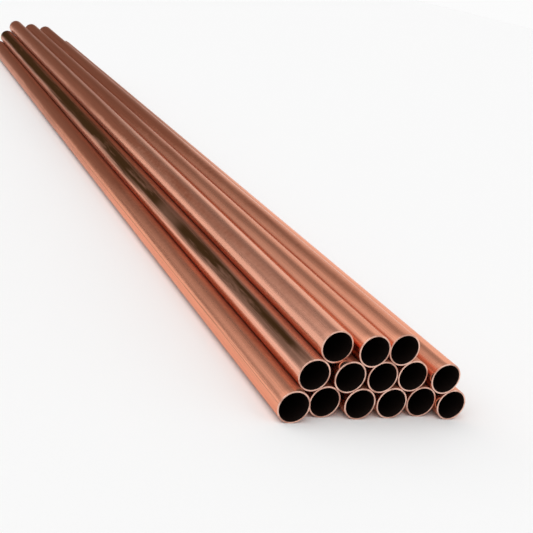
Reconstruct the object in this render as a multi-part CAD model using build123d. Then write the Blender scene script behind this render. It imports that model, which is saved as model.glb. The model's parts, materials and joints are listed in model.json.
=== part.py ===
from build123d import *
from math import sqrt
import os

# A loose stack of straight round copper tubes, lying in three rows on a level floor.
# X runs along the tubes with the staggered near ends at +X, Y runs across the rows and Z is up.
# The origin is under the middle of the stack, at floor level. Lengths are in millimetres.

# One tube
tube_length = 1000.0
outer_diameter = 18.0
wall_thickness = 1.0

# Broken edges of the sawn ends
outer_chamfer = 0.15
bore_chamfer = 0.2

# Room left where one tube rests on another
seat_gap = 0.05

# Clear space between neighbours of the bottom row, left to right, as shares of the outer diameter
bottom_gap_shares = (0.13, 0.12, 0.13, 0.12, 0.005)

# How far each near end stands out of the common end plane, as shares of the outer diameter
bottom_stagger_shares = (0.33, 0.0, 0.08, -0.01, -0.14, 0.01)
middle_stagger_shares = (0.01, 0.07, -0.01, -0.15, 0.02)
top_stagger_shares = (-0.12, 0.06, -0.14)

outer_radius = outer_diameter / 2
bore_radius = outer_radius - wall_thickness
seat_distance = outer_diameter + seat_gap


def floor_row(gap_shares):
    """Axis places, as (across, up), of tubes lying side by side on the floor."""
    across = 0
    places = [(across, outer_radius)]
    for share in gap_shares:
        across += outer_diameter * (1 + share)
        places.append((across, outer_radius))
    return places


def seat_between(left, right):
    """Axis place of a tube lying in the valley between two others, clear of each by the seat gap."""
    step_across = right[0] - left[0]
    step_up = right[1] - left[1]
    spread = sqrt(step_across**2 + step_up**2)
    rise = sqrt(seat_distance**2 - (spread / 2) ** 2)
    across = (left[0] + right[0]) / 2 - rise * step_up / spread
    up = (left[1] + right[1]) / 2 + rise * step_across / spread
    return across, up


def valley_row(row_below, count):
    """Axis places of the tubes in the first valleys, from the left, of the row below."""
    return [seat_between(row_below[i], row_below[i + 1]) for i in range(count)]


def tube():
    """One tube along X with its near end at X = 0, its bore open and its end edges broken."""
    section = Plane.YZ * (Circle(outer_radius) - Circle(bore_radius))
    body = extrude(section, amount=-tube_length)
    rims = body.edges().filter_by(GeomType.CIRCLE).sort_by(SortBy.RADIUS)
    body = chamfer(rims[-2:], outer_chamfer)
    rims = body.edges().filter_by(GeomType.CIRCLE).sort_by(SortBy.RADIUS)
    return chamfer(rims[:2], bore_chamfer)


bottom_row = floor_row(bottom_gap_shares)
middle_row = valley_row(bottom_row, len(middle_stagger_shares))
top_row = valley_row(middle_row, len(top_stagger_shares))

rows = (
    ("bottom_tube", bottom_row, bottom_stagger_shares),
    ("middle_tube", middle_row, middle_stagger_shares),
    ("top_tube", top_row, top_stagger_shares),
)

# The stack's middle, so that the origin lies under it
all_stagger_shares = bottom_stagger_shares + middle_stagger_shares + top_stagger_shares
nearest_end = outer_diameter * max(all_stagger_shares)
farthest_end = outer_diameter * min(all_stagger_shares) - tube_length
middle_along = (nearest_end + farthest_end) / 2
middle_across = (bottom_row[0][0] + bottom_row[-1][0]) / 2

os.makedirs("parts", exist_ok=True)
straight_tube = tube()
for row_name, places, stagger_shares in rows:
    for number, ((across, up), share) in enumerate(zip(places, stagger_shares), start=1):
        near_end = outer_diameter * share - middle_along
        placed_tube = Pos(near_end, across - middle_across, up) * straight_tube
        export_step(placed_tube, f"parts/{row_name}_{number}.step")
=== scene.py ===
import json
from math import cos, pi, radians, sin

import bpy
import numpy as np
from bpy.props import FloatProperty, FloatVectorProperty, IntProperty, PointerProperty
from mathutils import Matrix, Vector


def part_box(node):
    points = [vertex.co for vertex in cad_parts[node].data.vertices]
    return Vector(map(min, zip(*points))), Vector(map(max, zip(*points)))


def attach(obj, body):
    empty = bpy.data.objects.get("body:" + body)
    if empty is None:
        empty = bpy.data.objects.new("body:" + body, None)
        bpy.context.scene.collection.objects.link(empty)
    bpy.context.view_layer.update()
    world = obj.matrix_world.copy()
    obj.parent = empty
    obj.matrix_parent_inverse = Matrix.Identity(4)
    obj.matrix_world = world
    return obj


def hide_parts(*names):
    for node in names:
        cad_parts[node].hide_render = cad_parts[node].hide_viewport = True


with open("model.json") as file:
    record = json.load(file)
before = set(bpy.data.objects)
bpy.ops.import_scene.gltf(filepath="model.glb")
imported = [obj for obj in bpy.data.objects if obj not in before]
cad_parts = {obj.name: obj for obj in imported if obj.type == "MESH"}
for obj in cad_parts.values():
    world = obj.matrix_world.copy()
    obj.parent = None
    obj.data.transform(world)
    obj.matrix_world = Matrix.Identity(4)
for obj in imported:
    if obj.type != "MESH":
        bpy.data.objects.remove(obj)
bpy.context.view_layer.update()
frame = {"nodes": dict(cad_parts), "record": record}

bl_info = {
    "name": "Copper Tube Stack",
    "version": (1, 0, 0),
    "blender": (4, 5, 0),
    "location": "View3D > Sidebar > Tube Stack",
    "description": "A loose stack of straight drawn copper tubes with tarnish, sawn ends and dark bores",
    "category": "Add Mesh",
}

BORES = {mount["name"]: mount for mount in frame["record"]["mounts"]}
FIRST_BORE = BORES["bottom_tube_1_bore"]
MM_IN_A_METRE = 1000

# A bottom tube lies on the floor, so its axis is one outer radius up.
OUTER_RADIUS = FIRST_BORE["pos_m"][2]
BORE_RADIUS = FIRST_BORE["dims"]["r_mm"] / MM_IN_A_METRE

# Slots of the tube's finishes, in the order of its materials
OUTSIDE, RIM, BORE = range(3)
FINISH_NAMES = ("drawn_copper", "sawn_rim", "dark_bore")

# The tube's unrolled map starts at its underside. Angles round the axis run from +Y towards +Z, in degrees.
UNROLLED_MAP = "unrolled"
FIRST_ANGLE = -90.0
FULL_TURN = 360.0
TOP_ANGLE = 90.0

# How each tube differs. The film is the strength of the brown film on its upper side, partly tarnish and
# partly painted shade of the darker tops, and the painted valley shade darkens its upper right, where another
# tube rests.
# Orange is the share of metal that has turned orange. Middles and half widths are angles round the axis.
LOOK_NAMES = (
    "film", "film_and_shade_middle", "orange", "streak_strength", "streak_middle", "streak_half_width", "painted_valley_shade")
TUBE_LOOKS = {
    "bottom_tube_1": (0.38, 112.0, 0.95, 0.55, 175.0, 1.6, 0.50),
    "bottom_tube_2": (0.80, 95.0, 0.20, 0.0, 0.0, 1.0, 0.50),
    "bottom_tube_3": (0.75, 92.0, 0.30, 0.0, 0.0, 1.0, 0.50),
    "bottom_tube_4": (0.80, 95.0, 0.10, 0.0, 0.0, 1.0, 0.50),
    "bottom_tube_5": (0.80, 92.0, 0.30, 0.0, 0.0, 1.0, 0.50),
    "bottom_tube_6": (0.55, 110.0, 0.50, 0.0, 0.0, 1.0, 0.0),
    "middle_tube_1": (0.27, 97.0, 0.05, 1.0, 139.5, 37.0, 0.50),
    "middle_tube_2": (0.90, 92.0, 0.20, 0.0, 0.0, 1.0, 0.50),
    "middle_tube_3": (0.80, 95.0, 0.40, 0.0, 0.0, 1.0, 0.50),
    "middle_tube_4": (0.75, 90.0, 0.20, 0.0, 0.0, 1.0, 0.0),
    "middle_tube_5": (0.43, 147.0, 0.90, 0.0, 0.0, 1.0, 0.0),
    "top_tube_1": (0.54, 126.0, 0.20, 0.0, 0.0, 1.0, 0.0),
    "top_tube_2": (0.30, 104.0, 0.85, 0.0, 0.0, 1.0, 0.0),
    "top_tube_3": (0.50, 109.0, 0.90, 0.0, 0.0, 1.0, 0.0),
}

# Grid of a tube's wall
EDGE_STEPS = 5
BORE_STATION_STEP = 3

# Ranges that the dents and sawn ends are drawn from: reaches in metres, widths in radians, the rest shares
DENT_REACHES = (0.006, 0.03)
DENT_WIDTHS = (0.15, 0.5)
DENT_DEPTH_SHARES = (0.2, 1.0)
SKEW_SHARES = (0.3, 1.0)

# Distance from a sawn end, in metres, in which its lean falls to about a third
SKEW_FADE = 0.004

# Places of the sockets that a Mix node uses for colours
MIX_FACTOR, MIX_FIRST, MIX_SECOND = 0, 6, 7
MIX_RESULT = 2

# Where the room's levels lie, between the left horizon at 0 and the right one at 1, and the most they can be
ROOM_PLACES = (0.0, 0.1, 0.3, 0.5, 0.7, 0.9)
BRIGHTEST_LEVEL = 3.0

# Brightness of the white walls, which the lit room never passes
WALL_WHITE = 0.97


class TubeSettings(bpy.types.PropertyGroup):
    """Sizes of one tube and of the marks that drawing, sawing and handling left on it."""

    outer_radius: FloatProperty(
        name="Outer radius", description="Radius of the tube's outside",
        default=OUTER_RADIUS, unit="LENGTH")
    bore_radius: FloatProperty(
        name="Bore radius", description="Radius of the tube's bore",
        default=BORE_RADIUS, unit="LENGTH")
    outer_round: FloatProperty(
        name="Outer round", description="Radius of the broken outer edge of a sawn end",
        default=0.00015, unit="LENGTH")
    bore_round: FloatProperty(
        name="Bore round", description="Radius of the broken bore edge of a sawn end",
        default=0.0002, unit="LENGTH")
    cut_skew: FloatProperty(
        name="Cut skew", description="How far a sawn end leans back across the tube at most",
        default=0.00025, unit="LENGTH")
    dent_depth: FloatProperty(
        name="Dent depth", description="Depth of the deepest handling dent",
        default=0.00006, unit="LENGTH")
    ovality: FloatProperty(
        name="Ovality", description="How far the outside falls short of its radius on the flatter sides",
        default=0.00002, unit="LENGTH")
    sides: IntProperty(
        name="Sides", description="Faces round the tube", default=128)
    stations: IntProperty(
        name="Stations", description="Rings along the outside", default=120)
    dents: IntProperty(
        name="Dents", description="Handling dents on each tube", default=14)


class FinishSettings(bpy.types.PropertyGroup):
    """Colours of the copper, its oxides, the dark streak, and painted shade on the tubes and in the bore."""

    clean_copper: FloatVectorProperty(
        name="Clean copper", description="Colour of the drawn metal where it is bright",
        default=(0.92, 0.465, 0.335), subtype="COLOR")
    orange_copper: FloatVectorProperty(
        name="Orange copper", description="Colour of the drawn metal where it has turned orange",
        default=(0.90, 0.38, 0.24), subtype="COLOR")
    edge_tint: FloatVectorProperty(
        name="Edge tint", description="Tint of the metal at a glancing angle",
        default=(0.95, 0.76, 0.67), subtype="COLOR")
    # Brown of the oxide film, which on the tubes also paints shade on the tops, the far end and the valleys
    tarnish_and_shade_brown: FloatVectorProperty(
        name="Brown tarnish", description="Colour of the thin oxide film",
        default=(0.33, 0.108, 0.060), subtype="COLOR")
    # Near-black of the dark streak along one tube
    streak_black: FloatVectorProperty(
        name="Black oxide", description="Colour of the dark streak",
        default=(0.042, 0.019, 0.007), subtype="COLOR")
    sawn_copper: FloatVectorProperty(
        name="Sawn copper", description="Colour of the freshly cut rim",
        default=(0.87, 0.61, 0.51), subtype="COLOR")
    # Painted shade: near-black that stands for the shade deep in the bore
    bore_shade_black: FloatVectorProperty(
        name="Bore oxide", description="Colour of the dull bore",
        default=(0.012, 0.005, 0.003), subtype="COLOR")


class StudioSettings(bpy.types.PropertyGroup):
    """Camera, floor, overhead light and room."""

    camera_place: FloatVectorProperty(
        name="Camera place", description="Where the camera stands",
        default=(0.87109, -0.27313, 0.21127), subtype="XYZ", unit="LENGTH")
    camera_aim: FloatVectorProperty(
        name="Camera aim", description="Point at the middle of the picture",
        default=(0.36303, -0.01001, 0.03059), subtype="XYZ", unit="LENGTH")
    camera_roll: FloatProperty(
        name="Camera roll", description="How far the camera leans to its left",
        default=radians(14.0), unit="ROTATION")
    camera_lens: FloatProperty(
        name="Lens", description="Focal length on a sensor 36 mm wide", default=64.62)
    floor_radius: FloatProperty(
        name="Floor radius", description="Radius of the round floor", default=30.0, unit="LENGTH")
    floor_colour: FloatVectorProperty(
        name="Floor colour", description="Colour of the plain pale floor",
        default=(0.92, 0.92, 0.92), subtype="COLOR")
    overhead_level: FloatProperty(
        name="Overhead level", description="Strength of the wide soft light from above", default=1.12)
    room_levels: FloatVectorProperty(
        name="Room levels",
        description="Brightness of the room from the left horizon over the top to the right one",
        default=(0.45, 1.35, 1.00, 0.39, 0.47, 2.30), size=6)
    room_fade: FloatProperty(
        name="Room fade", description="How fast the room darkens towards the ends of the stack", default=1.9)


def wall_outline(settings, length):
    """Closed outline of the tube's wall, as distances from the near end, radii and finishes.

    The outline runs down the outside, round the far rim, back through the bore and round the near rim.
    Straight runs are joined by quarter circles of the two edge radii. Stations crowd towards the ends: their
    share of the length is the mean of an even share and of (1 - cos of an even angle) / 2. The bore has every
    third of them.
    """
    outer, bore = settings.outer_radius, settings.bore_radius
    outer_round, bore_round = settings.outer_round, settings.bore_round
    turn = np.linspace(0, pi / 2, EDGE_STEPS)
    even = np.linspace(0, pi, settings.stations)
    crowded = (1 - np.cos(even)) / 2
    share = (even / pi + crowded) / 2
    outside = outer_round + (length - 2 * outer_round) * share
    bore_share = share[::BORE_STATION_STEP]
    inside = bore_round + (length - 2 * bore_round) * bore_share[::-1]
    along = np.concatenate([
        outside,
        (length - outer_round + outer_round * np.sin(turn))[1:],
        length - bore_round + bore_round * np.cos(turn),
        inside[1:],
        (bore_round - bore_round * np.sin(turn))[1:],
        (outer_round - outer_round * np.cos(turn))[:-1],
    ])
    radius = np.concatenate([
        np.full(len(outside), outer),
        (outer - outer_round + outer_round * np.cos(turn))[1:],
        bore + bore_round - bore_round * np.sin(turn),
        np.full(len(inside) - 1, bore),
        (bore + bore_round - bore_round * np.cos(turn))[1:],
        (outer - outer_round + outer_round * np.sin(turn))[:-1],
    ])
    rim, bore_edge = len(turn), len(turn) - 1
    finish = np.concatenate([
        np.full(len(outside) - 1, OUTSIDE),
        np.full(rim, RIM),
        np.full(bore_edge + len(inside) - 1 + bore_edge, BORE),
        np.full(rim, RIM),
    ])
    return along, radius, finish


def dent_field(settings, along, angle, length, chance):
    """How far the outside lies inside its true cylinder, never negative.

    It is a slight ovality, half of one plus the cosine of twice the angle, and a sum of dents, each a
    Gaussian hollow in the distance along the tube and in the angle round it.
    """
    lean = chance.uniform(0, 2 * pi)
    depth = settings.ovality * (1 + np.cos(2 * (angle - lean))) / 2
    for _ in range(settings.dents):
        place = chance.uniform(0, length)
        side = chance.uniform(0, 2 * pi)
        reach = chance.uniform(*DENT_REACHES)
        width = chance.uniform(*DENT_WIDTHS)
        deepest = settings.dent_depth * chance.uniform(*DENT_DEPTH_SHARES)
        turn = (angle - side + pi) % (2 * pi) - pi
        depth = depth + deepest * np.exp(-((along - place) / reach) ** 2 - (turn / width) ** 2)
    return depth


def tube_surface(settings, node, seed):
    """Points, faces, finishes and unrolled map of one tube, in the frame's place for that node.

    The wall's outline is carried round the axis: a point at distance a from the near end, radius r and
    angle t lies at x = near end - a, y = axis + r cos t, z = axis + r sin t. The outside is pressed in by
    the dents. Each sawn end leans back by its skew times half of one minus the cosine of the angle from
    its proud side, fading out along the tube.
    """
    low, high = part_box(node)
    length = high.x - low.x
    _, axis_y, axis_z = BORES[node + "_bore"]["pos_m"]
    chance = np.random.default_rng(seed)
    along, radius, finish = wall_outline(settings, length)
    rings, sides = len(along), settings.sides
    angle = radians(FIRST_ANGLE) + np.arange(sides) * 2 * pi / sides
    along_grid, angle_grid = np.meshgrid(along, angle, indexing="ij")
    radius_grid = np.repeat(radius[:, None], sides, axis=1)

    dents = dent_field(settings, along_grid, angle_grid, length, chance)
    middle_radius = (settings.outer_radius + settings.bore_radius) / 2
    radius_grid -= np.where(radius_grid > middle_radius, dents, 0)

    for end, inward in ((0, 1), (length, -1)):
        proud = chance.uniform(0, 2 * pi)
        skew = settings.cut_skew * chance.uniform(*SKEW_SHARES)
        lean = skew * (1 - np.cos(angle_grid - proud)) / 2
        along_grid = along_grid + inward * lean * np.exp(-np.abs(along[:, None] - end) / SKEW_FADE)

    points = np.stack([
        high.x - along_grid,
        axis_y + radius_grid * np.cos(angle_grid),
        axis_z + radius_grid * np.sin(angle_grid),
    ], axis=-1).reshape(-1, 3)

    ring, side = np.meshgrid(np.arange(rings), np.arange(sides), indexing="ij")
    next_ring, next_side = (ring + 1) % rings, (side + 1) % sides
    corners = [(ring, side), (next_ring, side), (next_ring, next_side), (ring, next_side)]
    faces = np.stack([i * sides + j for i, j in corners], axis=-1).reshape(-1, 4)

    unrolled_sides = [side, side, side + 1, side + 1]
    unrolled_rings = [ring, next_ring, next_ring, ring]
    unrolled = np.stack([
        np.stack([s / sides for s in unrolled_sides], axis=-1),
        np.stack([along[r] / length for r in unrolled_rings], axis=-1),
    ], axis=-1).reshape(-1, 2)
    return points, faces, np.repeat(finish, sides), unrolled


def mesh_piece(name, points, faces, finish, unrolled, materials):
    """A smooth mesh object at the origin, with its finishes and unrolled map."""
    mesh = bpy.data.meshes.new(name)
    mesh.from_pydata(points, [], faces)
    for material in materials:
        mesh.materials.append(material)
    mesh.polygons.foreach_set("material_index", finish.astype(np.int32))
    mesh.uv_layers.new(name=UNROLLED_MAP).uv.foreach_set("vector", unrolled.astype(np.float32).ravel())
    mesh.shade_smooth()
    mesh.validate()
    piece = bpy.data.objects.new(name, mesh)
    bpy.context.scene.collection.objects.link(piece)
    return piece


def feed(tree, socket, value):
    """Links a socket to another one that is given as its value, or else sets the value."""
    if isinstance(value, bpy.types.NodeSocket):
        tree.links.new(value, socket)
    else:
        socket.default_value = value


def add_node(tree, kind, inputs=None, **settings):
    """A new shader node with its settings made and its sockets set or linked."""
    made = tree.nodes.new(kind)
    for name, value in settings.items():
        setattr(made, name, value)
    for name, value in (inputs or {}).items():
        feed(tree, made.inputs[name], value)
    return made


def math_node(tree, operation, *values):
    """The result socket of a Math node on the given values or sockets."""
    made = add_node(tree, "ShaderNodeMath", dict(enumerate(values)), operation=operation)
    return made.outputs[0]


def scaled(tree, value, factor, offset):
    """A value times a factor, plus an offset."""
    return math_node(tree, "MULTIPLY_ADD", value, factor, offset)


def away_from(tree, value, middle):
    """How far a value lies from a middle, to either side."""
    return math_node(tree, "ABSOLUTE", math_node(tree, "SUBTRACT", value, middle))


def rising(tree, value, low, high):
    """A smooth step of a value, from 0 at low to 1 at high."""
    made = add_node(tree, "ShaderNodeMapRange", {"Value": value, "From Min": low, "From Max": high},
                    interpolation_type="SMOOTHSTEP")
    return made.outputs["Result"]


def falling(tree, value, low, high):
    """A smooth step of a value, from 1 at low to 0 at high."""
    return math_node(tree, "SUBTRACT", 1.0, rising(tree, value, low, high))


def up_from(tree, start, share):
    """A value that goes from its start to 1 while a share goes from 0 to 1."""
    return scaled(tree, share, 1.0 - start, start)


def mix_colour(tree, factor, first, second):
    """The result socket of a colour mix, first at factor 0 and second at factor 1."""
    made = add_node(tree, "ShaderNodeMix", {MIX_FACTOR: factor, MIX_FIRST: first, MIX_SECOND: second},
                    data_type="RGBA")
    return made.outputs[MIX_RESULT]


def solid(colour):
    """A colour with full alpha."""
    return (*colour, 1.0)


def new_group(name, inputs, outputs):
    """An empty shader node group with its sockets, given as (name, socket kind) pairs."""
    group = bpy.data.node_groups.new(name, "ShaderNodeTree")
    for label, kind in inputs:
        group.interface.new_socket(name=label, in_out="INPUT", socket_type=kind)
    for label, kind in outputs:
        group.interface.new_socket(name=label, in_out="OUTPUT", socket_type=kind)
    return group, group.nodes.new("NodeGroupInput"), group.nodes.new("NodeGroupOutput")


def place_group(tree, name, inputs):
    """A node that uses a shared group, with its inputs set or linked."""
    return add_node(tree, "ShaderNodeGroup", inputs, node_tree=bpy.data.node_groups[name])


def drawing_lines_group():
    """Fine lines along the tube that the drawing die leaves: noise stretched along X."""
    group, given, result = new_group(
        "drawing_lines",
        [("Place", "NodeSocketVector"), ("Fineness", "NodeSocketFloat"), ("Stretch", "NodeSocketFloat")],
        [("Lines", "NodeSocketFloat")])
    squeeze = add_node(group, "ShaderNodeCombineXYZ", {"X": given.outputs["Stretch"], "Y": 1.0, "Z": 1.0})
    place = add_node(group, "ShaderNodeVectorMath", {0: given.outputs["Place"], 1: squeeze.outputs[0]},
                     operation="MULTIPLY")
    lines = add_node(group, "ShaderNodeTexNoise",
                     {"Vector": place.outputs[0], "Scale": given.outputs["Fineness"], "Detail": 5.0,
                      "Roughness": 0.65})
    group.links.new(lines.outputs["Fac"], result.inputs["Lines"])


def tarnish_and_shade_group():
    """Oxide film and painted shade, as a mask: its amount times a weighted sum of noise stretched along X and
    a fine mottle.
    """
    squeeze_along = (0.12, 1.0, 1.0)
    broad_weight, mottle_weight = 1.2, 0.8
    group, given, result = new_group(
        "tarnish_and_shade_film",
        [("Place", "NodeSocketVector"), ("Amount", "NodeSocketFloat")],
        [("Mask", "NodeSocketFloat")])
    squeeze = add_node(group, "ShaderNodeVectorMath", {0: given.outputs["Place"], 1: squeeze_along},
                       operation="MULTIPLY")
    broad = add_node(group, "ShaderNodeTexNoise",
                     {"Vector": squeeze.outputs[0], "Scale": 95.0, "Detail": 4.0, "Roughness": 0.55})
    mottle = add_node(group, "ShaderNodeTexNoise",
                      {"Vector": given.outputs["Place"], "Scale": 320.0, "Detail": 6.0, "Roughness": 0.6})
    patchy = math_node(group, "MULTIPLY", broad.outputs["Fac"], broad_weight)
    uneven = scaled(group, mottle.outputs["Fac"], mottle_weight, patchy)
    mask = add_node(group, "ShaderNodeMath", {0: given.outputs["Amount"], 1: uneven},
                    operation="MULTIPLY", use_clamp=True)
    group.links.new(mask.outputs[0], result.inputs["Mask"])


def streak_group():
    """A dark streak along the tube, as a mask.

    It is made of two bands, each one inside its half width round its middle and with its edge pushed to and
    fro by the drawing lines. Both widen and drift to the left away from the near end. The thin veil is such a
    band broken up by the drawing lines. The dense core slips round to the right and narrows towards the near
    end. The larger of the two, m, is filled out to m (2 - m). It is worn thinner in long patches, at one thin
    place and at the near end, and taken times the streak's strength.
    """
    edge_pull = 1.4
    edge_places = (0.90, 2.00)
    spread_places, drift, near_width_share = (0.0, 0.5), 6.0, 0.8
    core_places, core_slip, near_core_share = (-0.02, 0.16), 10.0, 0.55
    veil_contrast, veil_offset = 2.2, -0.45
    patch_places, patch_wear = (0.52, 0.70), -0.2
    thin_place, thin_reaches, thin_wear = 0.228, (0.006, 0.034), -0.25
    end_places, end_share = (-0.01, 0.025), 0.7
    group, given, result = new_group(
        "dark_streak",
        [("Angle", "NodeSocketFloat"), ("Along", "NodeSocketFloat"), ("Middle", "NodeSocketFloat"),
         ("Half width", "NodeSocketFloat"), ("Lines", "NodeSocketFloat"), ("Patches", "NodeSocketFloat"),
         ("Strength", "NodeSocketFloat")],
        [("Mask", "NodeSocketFloat")])
    along = given.outputs["Along"]
    lines = given.outputs["Lines"]
    patches = given.outputs["Patches"]

    def band(middle, half_width):
        """One inside the half width round the middle, with ragged edges."""
        share = math_node(group, "DIVIDE", away_from(group, given.outputs["Angle"], middle), half_width)
        return falling(group, scaled(group, lines, edge_pull, share), *edge_places)

    spread = rising(group, along, *spread_places)
    middle = scaled(group, math_node(group, "SUBTRACT", spread, 1.0), drift, given.outputs["Middle"])
    half_width = math_node(group, "MULTIPLY", given.outputs["Half width"],
                           up_from(group, near_width_share, spread))
    grown = rising(group, along, *core_places)
    core_middle = scaled(group, math_node(group, "SUBTRACT", grown, 1.0), core_slip, middle)
    core_half_width = math_node(group, "MULTIPLY", half_width, up_from(group, near_core_share, grown))
    core = band(core_middle, core_half_width)
    veil = math_node(group, "MULTIPLY", band(middle, half_width),
                     scaled(group, lines, veil_contrast, veil_offset))
    either = math_node(group, "MAXIMUM", core, veil)
    dense = math_node(group, "MULTIPLY", either, math_node(group, "SUBTRACT", 2.0, either))

    unworn = scaled(group, rising(group, patches, *patch_places), patch_wear, 1.0)
    thin = falling(group, away_from(group, along, thin_place), *thin_reaches)
    unworn = scaled(group, math_node(group, "MULTIPLY", thin, patches), thin_wear, unworn)
    begun = up_from(group, end_share, rising(group, along, *end_places))
    unworn = math_node(group, "MULTIPLY", unworn, begun)
    strength = math_node(group, "MULTIPLY", unworn, given.outputs["Strength"])
    mask = math_node(group, "MULTIPLY", dense, strength)
    group.links.new(mask, result.inputs["Mask"])


def new_material(name):
    """A material with an empty node tree, its shader and the object's own coordinates."""
    material = bpy.data.materials.new(name)
    material.use_nodes = True
    tree = material.node_tree
    tree.nodes.clear()
    output = tree.nodes.new("ShaderNodeOutputMaterial")
    shader = tree.nodes.new("ShaderNodeBsdfPrincipled")
    tree.links.new(shader.outputs["BSDF"], output.inputs["Surface"])
    place = tree.nodes.new("ShaderNodeTexCoord").outputs["Object"]
    return material, tree, shader, place


def read_attribute(tree, name):
    """The value of a tube's own attribute."""
    made = add_node(tree, "ShaderNodeAttribute", attribute_type="GEOMETRY", attribute_name=name)
    return made.outputs["Fac"]


def film_and_shade_amount(tree, angle, along):
    """How much brown film and painted shade lie at an angle round the tube and a share of the way along it.

    It is the sum of four parts: painted shade all round that comes up on the way along, for dimmer light
    towards the far end; a band round the film's middle on the upper side, partly tarnish and partly painted
    shade of the darker tops; a darker band underneath; and painted shade in the valley at the upper right,
    where another tube rests. The band is the tube's own film, thinner at the near end, plus a share of the
    way along, and its middle drifts to the left on that way.
    """
    farthest, far_gain, drift = 0.55, 1.25, 18.0
    far_places, painted_far_shade = (0.25, 0.60), 0.6
    band_reaches = (4.0, 54.0)
    end_places, end_share = (0.0, 0.06), 0.7
    under_reaches, under_darkening = (130.0, 160.0), 0.9
    valley_angle, valley_reaches = 56.0, (28.0, 52.0)

    farther = math_node(tree, "MULTIPLY", math_node(tree, "MINIMUM", along, farthest), far_gain)
    film_and_shade_middle = scaled(tree, farther, drift, read_attribute(tree, "film_and_shade_middle"))
    near_middle = falling(tree, away_from(tree, angle, film_and_shade_middle), *band_reaches)
    at_end = up_from(tree, end_share, rising(tree, along, *end_places))
    # Painted shade mixed with tarnish: the band on the upper side darkens the tops, and more so towards the
    # far end
    upper_film_and_shade = scaled(tree, at_end, read_attribute(tree, "film"), farther)
    # A darker band underneath
    underneath = rising(tree, away_from(tree, angle, TOP_ANGLE), *under_reaches)
    # Painted shade: darkens the valley at the upper right, where another tube rests
    in_valley = falling(tree, away_from(tree, angle, valley_angle), *valley_reaches)

    # Painted shade: a film all round that thickens towards the far end, for the dimmer light there
    amount = math_node(tree, "MULTIPLY", rising(tree, along, *far_places), painted_far_shade)
    amount = scaled(tree, near_middle, upper_film_and_shade, amount)
    amount = scaled(tree, underneath, under_darkening, amount)
    return scaled(tree, in_valley, read_attribute(tree, "painted_valley_shade"), amount)


def drawn_copper(finish):
    """Outside of a tube: bright drawn copper under a brown film, with die lines and dark streaks.

    The brown film is partly tarnish and partly painted shade, on the tops, towards the far end and in the
    valleys.
    Die lines shade and emboss the filmed metal, and the streak lies over it. Film and streak make it rougher
    and less metallic, and the streak is matte where it is dense.
    """
    fine_shade, broad_shade, least_shade = 0.5, 0.3, 0.60
    bare_roughness, film_roughness, line_roughness, streak_roughness = 0.19, 0.12, 0.06, 0.12
    film_metal_loss = -0.35
    matte_places = (0.6, 1.0)

    material, tree, shader, place = new_material("drawn_copper")
    unrolled = add_node(tree, "ShaderNodeUVMap", uv_map=UNROLLED_MAP)
    parts = add_node(tree, "ShaderNodeSeparateXYZ", {"Vector": unrolled.outputs["UV"]})
    angle = scaled(tree, parts.outputs["X"], FULL_TURN, FIRST_ANGLE)
    along = parts.outputs["Y"]
    fine = place_group(tree, "drawing_lines", {"Place": place, "Fineness": 1400.0, "Stretch": 0.012})
    broad = place_group(tree, "drawing_lines", {"Place": place, "Fineness": 420.0, "Stretch": 0.02})
    patches = place_group(tree, "drawing_lines", {"Place": place, "Fineness": 160.0, "Stretch": 0.08})
    # The film mask carries tarnish and painted shade
    film = place_group(tree, "tarnish_and_shade_film", {"Place": place, "Amount": film_and_shade_amount(tree, angle, along)})
    streak = place_group(tree, "dark_streak", {
        "Angle": angle, "Along": along, "Lines": broad.outputs["Lines"], "Patches": patches.outputs["Lines"],
        "Middle": read_attribute(tree, "streak_middle"),
        "Half width": read_attribute(tree, "streak_half_width"),
        "Strength": read_attribute(tree, "streak_strength")})

    drawn = mix_colour(tree, read_attribute(tree, "orange"), solid(finish.clean_copper),
                       solid(finish.orange_copper))
    # The film's brown paints shade on the tops, the far end and the valleys, as well as tarnish
    filmed = mix_colour(tree, film.outputs["Mask"], drawn, solid(finish.tarnish_and_shade_brown))
    shade = scaled(tree, broad.outputs["Lines"], broad_shade, least_shade)
    shade = scaled(tree, fine.outputs["Lines"], fine_shade, shade)
    lined = add_node(tree, "ShaderNodeHueSaturation", {"Color": filmed, "Value": shade})
    colour = mix_colour(tree, streak.outputs["Mask"], lined.outputs["Color"], solid(finish.streak_black))
    tree.links.new(colour, shader.inputs["Base Color"])

    roughness = scaled(tree, film.outputs["Mask"], film_roughness, bare_roughness)
    roughness = scaled(tree, broad.outputs["Lines"], line_roughness, roughness)
    roughness = scaled(tree, streak.outputs["Mask"], streak_roughness, roughness)
    tree.links.new(roughness, shader.inputs["Roughness"])

    bare = scaled(tree, film.outputs["Mask"], film_metal_loss, 1.0)
    unstreaked = falling(tree, streak.outputs["Mask"], *matte_places)
    tree.links.new(math_node(tree, "MULTIPLY", bare, unstreaked), shader.inputs["Metallic"])

    shader.inputs["Specular Tint"].default_value = solid(finish.edge_tint)
    shader.inputs["Specular IOR Level"].default_value = 0.0
    shader.inputs["Anisotropic"].default_value = 0.6
    around = add_node(tree, "ShaderNodeTangent", direction_type="UV_MAP", uv_map=UNROLLED_MAP)
    tree.links.new(around.outputs["Tangent"], shader.inputs["Tangent"])
    bump = add_node(tree, "ShaderNodeBump", {
        "Height": fine.outputs["Lines"], "Strength": 0.15, "Distance": 0.00008})
    tree.links.new(bump.outputs["Normal"], shader.inputs["Normal"])
    return material


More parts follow.
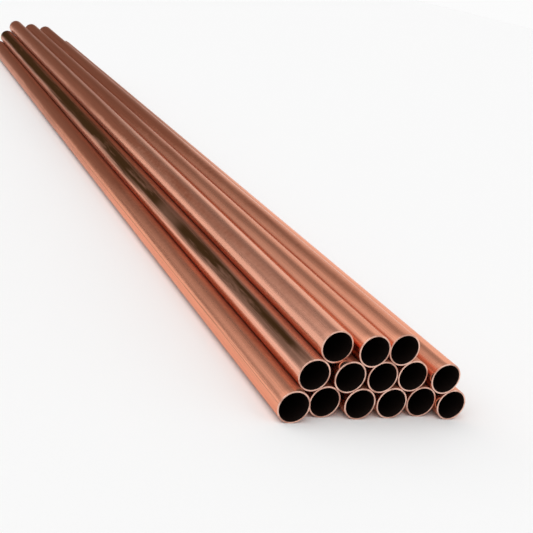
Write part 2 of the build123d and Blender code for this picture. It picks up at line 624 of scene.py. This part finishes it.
def sawn_rim(finish):
    """Cut end of the wall: bright copper with short saw marks, a trace of film and dull brown patches."""
    dull_places, dull_share = (0.42, 0.62), 0.5
    mark_roughness, least_roughness = 0.25, 0.28
    material, tree, shader, place = new_material("sawn_rim")
    marks = add_node(tree, "ShaderNodeTexNoise", {"Vector": place, "Scale": 2600.0, "Detail": 4.0})
    film = place_group(tree, "tarnish_and_shade_film", {"Place": place, "Amount": 0.35})
    patches = add_node(tree, "ShaderNodeTexNoise", {"Vector": place, "Scale": 150.0, "Detail": 3.0})
    filmed = mix_colour(tree, film.outputs["Mask"], solid(finish.sawn_copper), solid(finish.clean_copper))
    dull = math_node(tree, "MULTIPLY", rising(tree, patches.outputs["Fac"], *dull_places), dull_share)
    colour = mix_colour(tree, dull, filmed, solid(finish.tarnish_and_shade_brown))
    tree.links.new(colour, shader.inputs["Base Color"])
    roughness = scaled(tree, marks.outputs["Fac"], mark_roughness, least_roughness)
    tree.links.new(roughness, shader.inputs["Roughness"])
    shader.inputs["Metallic"].default_value = 1.0
    bump = add_node(tree, "ShaderNodeBump", {
        "Height": marks.outputs["Fac"], "Strength": 0.3, "Distance": 0.0001})
    tree.links.new(bump.outputs["Normal"], shader.inputs["Normal"])
    return material


def dark_bore(finish):
    """Inside of a tube: dull near-black painted shade of the deep bore, with die lines."""
    line_shade, least_shade = 1.0, 0.5
    line_roughness, least_roughness = 0.2, 0.5
    material, tree, shader, place = new_material("dark_bore")
    lines = place_group(tree, "drawing_lines", {"Place": place, "Fineness": 900.0, "Stretch": 0.02})
    shade = scaled(tree, lines.outputs["Lines"], line_shade, least_shade)
    # Painted shade of the bore, with die lines
    lined = add_node(tree, "ShaderNodeHueSaturation", {"Color": solid(finish.bore_shade_black), "Value": shade})
    tree.links.new(lined.outputs["Color"], shader.inputs["Base Color"])
    roughness = scaled(tree, lines.outputs["Lines"], line_roughness, least_roughness)
    tree.links.new(roughness, shader.inputs["Roughness"])
    shader.inputs["Metallic"].default_value = 0.6
    return material


def tube_materials(finish):
    """The three finishes of a tube, in slot order, made once."""
    if FINISH_NAMES[OUTSIDE] not in bpy.data.materials:
        drawing_lines_group()
        tarnish_and_shade_group()
        streak_group()
        drawn_copper(finish)
        sawn_rim(finish)
        dark_bore(finish)
    return [bpy.data.materials[name] for name in FINISH_NAMES]


def set_attribute(piece, name, value):
    """Gives every point of a piece the same value of a named attribute."""
    count = len(piece.data.vertices)
    attribute = piece.data.attributes.new(name, "FLOAT", "POINT")
    attribute.data.foreach_set("value", np.full(count, value, np.float32))


def build_tube(scene, node):
    """One finished tube in the place of its CAD node."""
    seed = sorted(TUBE_LOOKS).index(node)
    surface = tube_surface(scene.tube_sizes, node, seed)
    piece = mesh_piece(node + "_copper", *surface, tube_materials(scene.tube_finish))
    for name, value in zip(LOOK_NAMES, TUBE_LOOKS[node]):
        set_attribute(piece, name, value)
    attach(piece, "root")
    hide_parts(node)


def build_row(scene, row):
    """Every tube of one row of the stack."""
    for node in sorted(frame["nodes"]):
        if node.startswith(row):
            build_tube(scene, node)


class BottomRow(bpy.types.Operator):
    """Build the tubes that lie on the floor"""

    bl_idname = "tube_stack.bottom_row"
    bl_label = "Bottom Row"

    def execute(self, context):
        build_row(context.scene, "bottom_tube")
        return {"FINISHED"}


class MiddleRow(bpy.types.Operator):
    """Build the tubes in the valleys of the bottom row"""

    bl_idname = "tube_stack.middle_row"
    bl_label = "Middle Row"

    def execute(self, context):
        build_row(context.scene, "middle_tube")
        return {"FINISHED"}


class TopRow(bpy.types.Operator):
    """Build the tubes in the valleys of the middle row"""

    bl_idname = "tube_stack.top_row"
    bl_label = "Top Row"

    def execute(self, context):
        build_row(context.scene, "top_tube")
        return {"FINISHED"}


def pale_floor(studio):
    """Plain pale matte floor with a faint speckle."""
    speckle_depth, least_shade = 0.02, 0.99
    material, tree, shader, place = new_material("pale_floor")
    speckle = add_node(tree, "ShaderNodeTexNoise", {"Vector": place, "Scale": 900.0, "Detail": 2.0})
    shade = scaled(tree, speckle.outputs["Fac"], speckle_depth, least_shade)
    colour = add_node(tree, "ShaderNodeHueSaturation", {"Color": solid(studio.floor_colour), "Value": shade})
    tree.links.new(colour.outputs["Color"], shader.inputs["Base Color"])
    shader.inputs["Roughness"].default_value = 0.9
    shader.inputs["Specular IOR Level"].default_value = 0.0
    return material


def round_floor(studio):
    """Flat disc: rings whose radius grows by even steps of its square root, carried round the origin."""
    rings, sides = 24, 96
    radius = studio.floor_radius * np.linspace(0, 1, rings + 1)[1:] ** 2
    angle = np.arange(sides) * 2 * pi / sides
    radius_grid, angle_grid = np.meshgrid(radius, angle, indexing="ij")
    ring_points = np.stack([
        radius_grid * np.cos(angle_grid),
        radius_grid * np.sin(angle_grid),
        np.zeros_like(radius_grid),
    ], axis=-1).reshape(-1, 3)
    points = np.concatenate([np.zeros((1, 3)), ring_points])
    side = np.arange(sides)
    next_side = (side + 1) % sides
    fan = np.stack([np.zeros(sides, int), 1 + side, 1 + next_side], axis=-1).tolist()
    ring, side_grid = np.meshgrid(np.arange(rings - 1), side, indexing="ij")
    next_grid = (side_grid + 1) % sides
    corners = [(ring, side_grid), (ring + 1, side_grid), (ring + 1, next_grid), (ring, next_grid)]
    bands = np.stack([1 + i * sides + j for i, j in corners], axis=-1).reshape(-1, 4).tolist()
    mesh = bpy.data.meshes.new("floor")
    mesh.from_pydata(points.tolist(), [], fan + bands)
    mesh.materials.append(pale_floor(studio))
    floor = bpy.data.objects.new("floor", mesh)
    bpy.context.scene.collection.objects.link(floor)


def aimed_at(place, target, roll=0.0):
    """Matrix of a camera or light at a place that looks at a target, leaning by the roll to its left."""
    back = (Vector(place) - Vector(target)).normalized()
    level = Vector((0, 0, 1)).cross(back).normalized()
    upright = back.cross(level)
    right = level * cos(roll) + upright * sin(roll)
    up = back.cross(right)
    turn = Matrix((right, up, back)).transposed().to_4x4()
    turn.translation = Vector(place)
    return turn


def overhead_light(studio):
    """Wide even light from above, for the floor and the shadow under the stack."""
    stand, aim = (0.2, -0.6, 1.0), (0, 0, 0)
    light = bpy.data.lights.new("overhead", "SUN")
    light.energy = studio.overhead_level
    light.angle = radians(70.0)
    lamp = bpy.data.objects.new("overhead", light)
    lamp.matrix_world = aimed_at(stand, aim)
    bpy.context.scene.collection.objects.link(lamp)


def soft_room(studio):
    """World: a room with pale sides and a dimmer ceiling that darkens towards the ends of the stack.

    The brightness of a direction is read off the room's levels at half of one plus its share across, which is
    its Y over its reach, the length of its Y and Z. It is taken times a power of the reach over the full
    reach, where that is less than 1, and is never more than the white of the walls. A thin band along the
    horizon, and all that lies under it, has that white.
    """
    full_reach = 0.75
    band_heights = (0.018, 0.032)
    world = bpy.data.worlds.new("room")
    world.use_nodes = True
    tree = world.node_tree
    tree.nodes.clear()
    output = tree.nodes.new("ShaderNodeOutputWorld")
    direction = tree.nodes.new("ShaderNodeTexCoord").outputs["Generated"]
    parts = add_node(tree, "ShaderNodeSeparateXYZ", {"Vector": direction})
    squares = [math_node(tree, "MULTIPLY", parts.outputs[side], parts.outputs[side]) for side in "YZ"]
    reach = math_node(tree, "SQRT", math_node(tree, "ADD", *squares))
    across = math_node(tree, "DIVIDE", parts.outputs["Y"], reach)
    levels = add_node(tree, "ShaderNodeValToRGB", {"Fac": scaled(tree, across, 0.5, 0.5)})
    stops = levels.color_ramp.elements
    for _ in range(len(ROOM_PLACES) - len(stops)):
        stops.new(1.0)
    for stop, where, level in zip(stops, ROOM_PLACES, studio.room_levels):
        share = level / BRIGHTEST_LEVEL
        stop.position = where
        stop.color = solid((share, share, share))
    full_level = math_node(tree, "MULTIPLY", levels.outputs["Color"], BRIGHTEST_LEVEL)
    reach_share = math_node(tree, "MINIMUM", math_node(tree, "DIVIDE", reach, full_reach), 1.0)
    fade = math_node(tree, "POWER", reach_share, studio.room_fade)
    faded = math_node(tree, "MULTIPLY", full_level, fade)
    lit = math_node(tree, "MINIMUM", faded, WALL_WHITE)
    band = falling(tree, parts.outputs["Z"], *band_heights)
    level = math_node(tree, "MAXIMUM", lit, math_node(tree, "MULTIPLY", band, WALL_WHITE))
    background = add_node(tree, "ShaderNodeBackground", {"Color": (1.0, 1.0, 1.0, 1.0), "Strength": level})
    tree.links.new(background.outputs[0], output.inputs["Surface"])
    bpy.context.scene.world = world


def photo_camera(studio):
    """Camera at the photograph's viewing angle."""
    lens = bpy.data.cameras.new("photo_camera")
    lens.lens = studio.camera_lens
    lens.sensor_width = 36.0
    lens.clip_start = 0.01
    lens.clip_end = 100.0
    camera = bpy.data.objects.new("photo_camera", lens)
    camera.matrix_world = aimed_at(studio.camera_place, studio.camera_aim, studio.camera_roll)
    bpy.context.scene.collection.objects.link(camera)
    bpy.context.scene.camera = camera


class Stage(bpy.types.Operator):
    """Build the floor, the overhead light, the room and the camera"""

    bl_idname = "tube_stack.stage"
    bl_label = "Stage"

    def execute(self, context):
        studio = context.scene.tube_studio
        round_floor(studio)
        overhead_light(studio)
        soft_room(studio)
        photo_camera(studio)
        context.scene.view_settings.view_transform = "Standard"
        return {"FINISHED"}


class TubeStackPanel(bpy.types.Panel):
    """Sidebar panel that lists the stack's settings and steps."""

    bl_idname = "VIEW3D_PT_tube_stack"
    bl_label = "Copper Tube Stack"
    bl_space_type = "VIEW_3D"
    bl_region_type = "UI"
    bl_category = "Tube Stack"

    def draw(self, context):
        scene = context.scene
        for settings in (scene.tube_sizes, scene.tube_finish, scene.tube_studio):
            box = self.layout.box()
            for name in settings.__annotations__:
                box.prop(settings, name)
        for step in STEPS:
            self.layout.operator(step.bl_idname)


STEPS = (BottomRow, MiddleRow, TopRow, Stage)
CLASSES = (TubeSettings, FinishSettings, StudioSettings, *STEPS, TubeStackPanel)


def register():
    """Registers the classes and gives the scene its settings."""
    for each in CLASSES:
        bpy.utils.register_class(each)
    bpy.types.Scene.tube_sizes = PointerProperty(type=TubeSettings)
    bpy.types.Scene.tube_finish = PointerProperty(type=FinishSettings)
    bpy.types.Scene.tube_studio = PointerProperty(type=StudioSettings)


def unregister():
    """Takes the settings and the classes away again."""
    del bpy.types.Scene.tube_studio
    del bpy.types.Scene.tube_finish
    del bpy.types.Scene.tube_sizes
    for each in reversed(CLASSES):
        bpy.utils.unregister_class(each)


def main():
    """Builds the stack row by row and its stage."""
    register()
    bpy.ops.tube_stack.bottom_row()
    bpy.ops.tube_stack.middle_row()
    bpy.ops.tube_stack.top_row()
    bpy.ops.tube_stack.stage()


if __name__ == "__main__":
    main()
